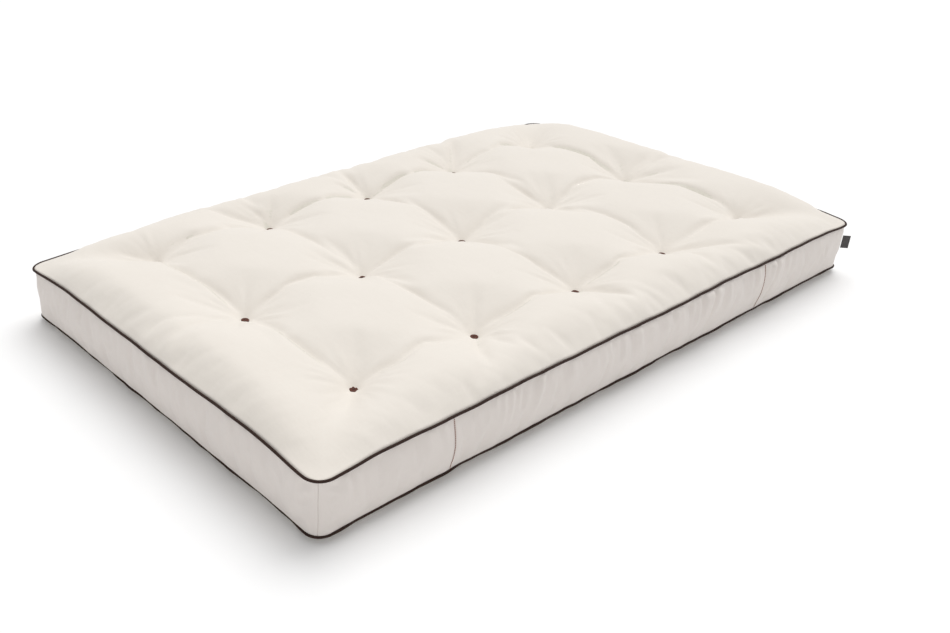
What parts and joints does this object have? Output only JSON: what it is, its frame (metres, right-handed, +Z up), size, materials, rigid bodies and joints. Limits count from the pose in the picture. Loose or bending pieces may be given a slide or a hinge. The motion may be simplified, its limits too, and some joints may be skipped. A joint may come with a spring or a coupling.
{
  "type": "futon mattress",
  "caption": "Rectangular tufted futon mattress with a crowned cotton cover, dark piping round both edges, sewn boxing and a layered core.",
  "frame": {"origin": "middle of the underside, at the level it rests on", "axes": "+X along the length, +Y across the width towards the back long side, +Z up; the label tab is in the corner seam at +X, -Y"},
  "size_m": [2.0031, 1.2036, 0.22],
  "materials": {
    "cover_cotton": "unbleached cotton twill, matt",
    "boxing_cotton": "unbleached cotton twill, matt",
    "piping_cotton": "dark brown bias cotton, matt",
    "piping_cord": "twisted cotton cord",
    "seam_thread": "dark brown thread",
    "button_felt": "dense dark brown wool felt",
    "tuft_twine": "waxed twine",
    "cotton_batting": "loose cotton felt",
    "latex": "pin-core latex foam",
    "coir": "rubberised coconut fibre",
    "label_weave": "folded woven tape, plain"
  },
  "bodies": {
    "mattress": {"bottom_panel": "cover_cotton", "bottom_piping_filler": "piping_cord", "bottom_piping_sleeve": "piping_cotton", "boxing_back_left": "boxing_cotton", "boxing_back_middle": "boxing_cotton", "boxing_back_right": "boxing_cotton", "boxing_front_left": "boxing_cotton", "boxing_front_middle": "boxing_cotton", "boxing_front_right": "boxing_cotton", "boxing_left_end": "boxing_cotton", "boxing_right_end": "boxing_cotton", "coir_core": "coir", "cotton_batting_bottom": "cotton_batting", "cotton_batting_top": "cotton_batting", "latex_layer_bottom": "latex", "latex_layer_top": "latex", "seam_trim_back_left": "seam_thread", "seam_trim_back_right": "seam_thread", "seam_trim_front_left": "seam_thread", "seam_trim_front_right": "seam_thread", "top_panel": "cover_cotton", "top_piping_filler": "piping_cord", "top_piping_sleeve": "piping_cotton", "tuft_buttons_bottom": "button_felt", "tuft_buttons_top": "button_felt", "tuft_cords": "tuft_twine"},
    "label": {"label_tab": "label_weave"}
  },
  "joints": [
    {"name": "label_flip", "type": "hinge", "parent": "mattress", "child": "label", "pos_m": [0.98732, -0.58732, 0.09], "axis": [0, 0, 1], "range_deg": [-90, 90], "stiffness_Nm_per_rad": 0.0002}
  ]
}
